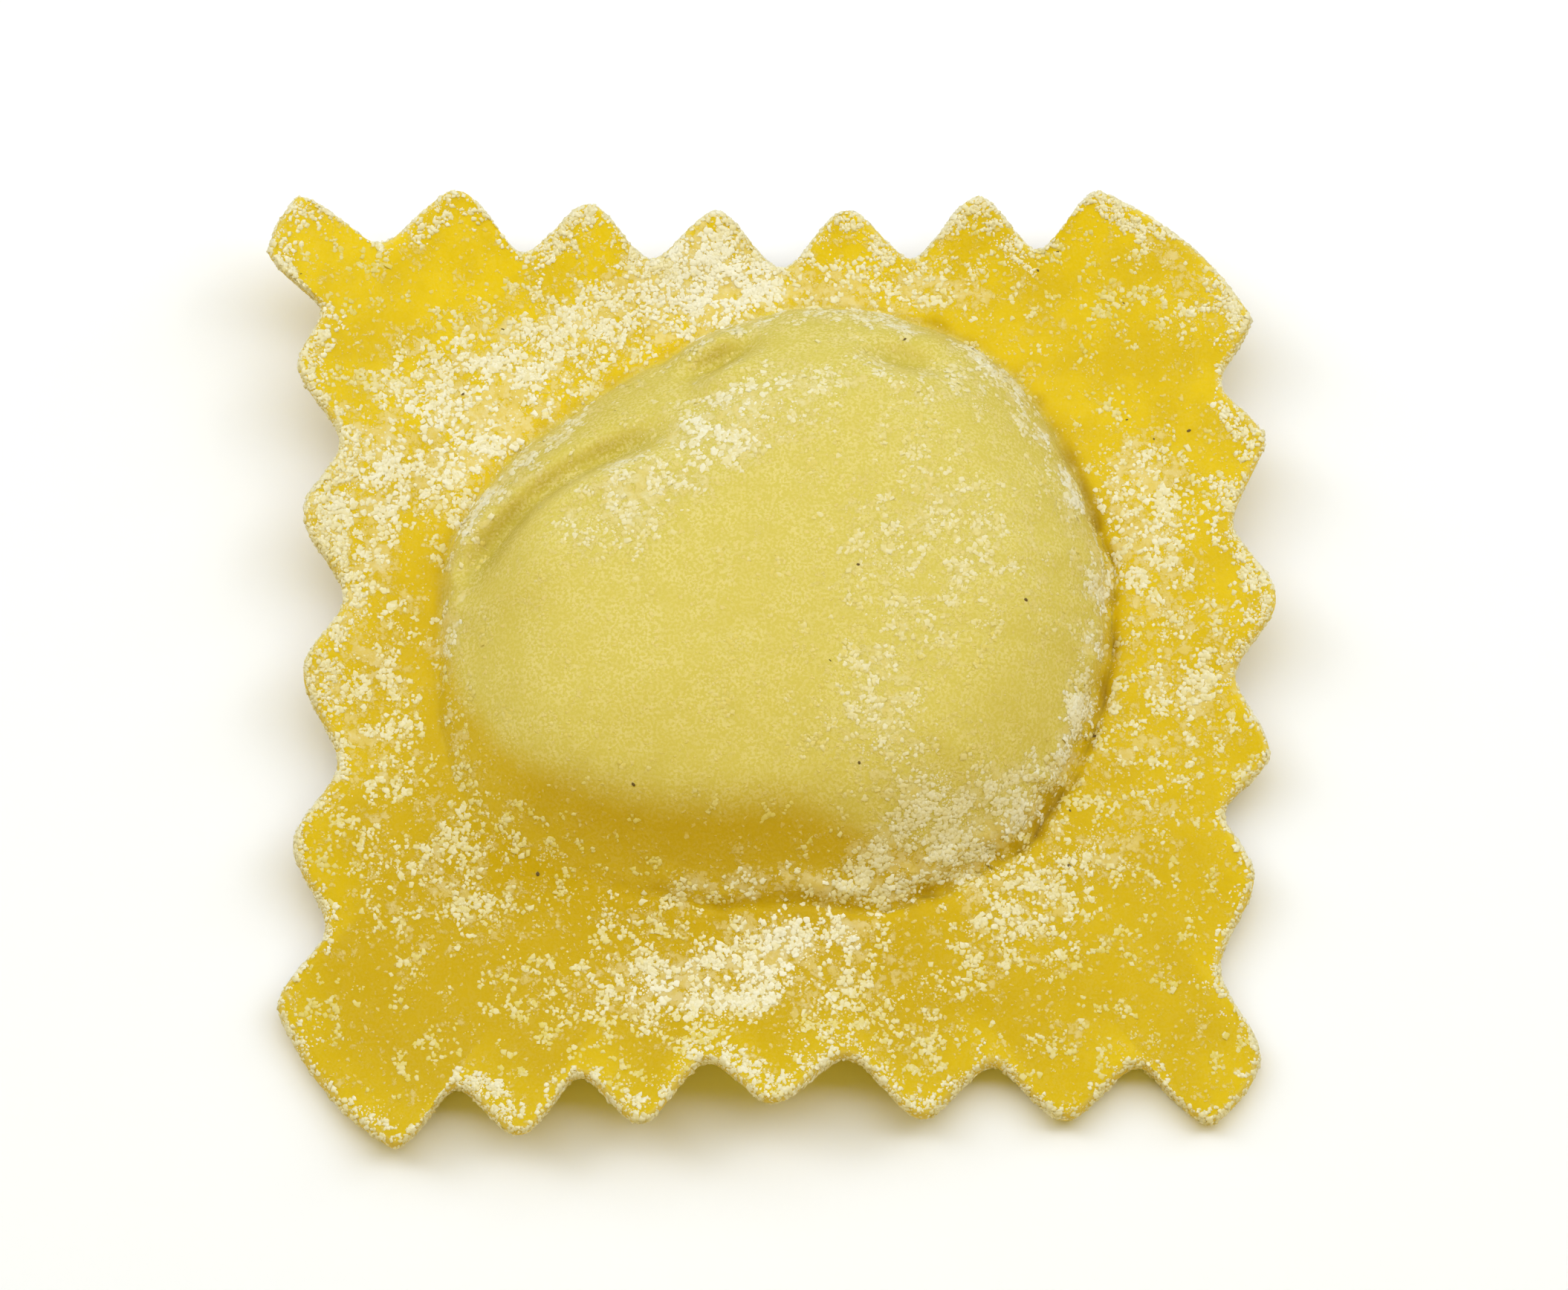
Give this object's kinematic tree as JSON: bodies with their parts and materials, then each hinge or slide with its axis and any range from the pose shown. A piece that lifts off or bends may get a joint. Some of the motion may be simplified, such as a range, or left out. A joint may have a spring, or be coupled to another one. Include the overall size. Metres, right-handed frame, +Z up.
{
  "type": "agnolotto",
  "caption": "Square filled pasta of fresh egg dough, with a round mound of filling, a fluted cut edge and a dusting of semolina.",
  "frame": {"origin": "middle of the piece's box, on the surface it lies on", "axes": "+Z up, through the mound of filling; +Y towards the back edge, away from the viewer; +X to the right"},
  "size_m": [0.0518, 0.0506, 0.0096],
  "materials": {
    "egg_dough": "fresh golden egg dough, matt, dusted with pale semolina",
    "semolina": "pale cream semolina grains, dry and matt"
  },
  "bodies": {
    "root": {"agnolotto": "egg_dough"}
  },
  "joints": []
}
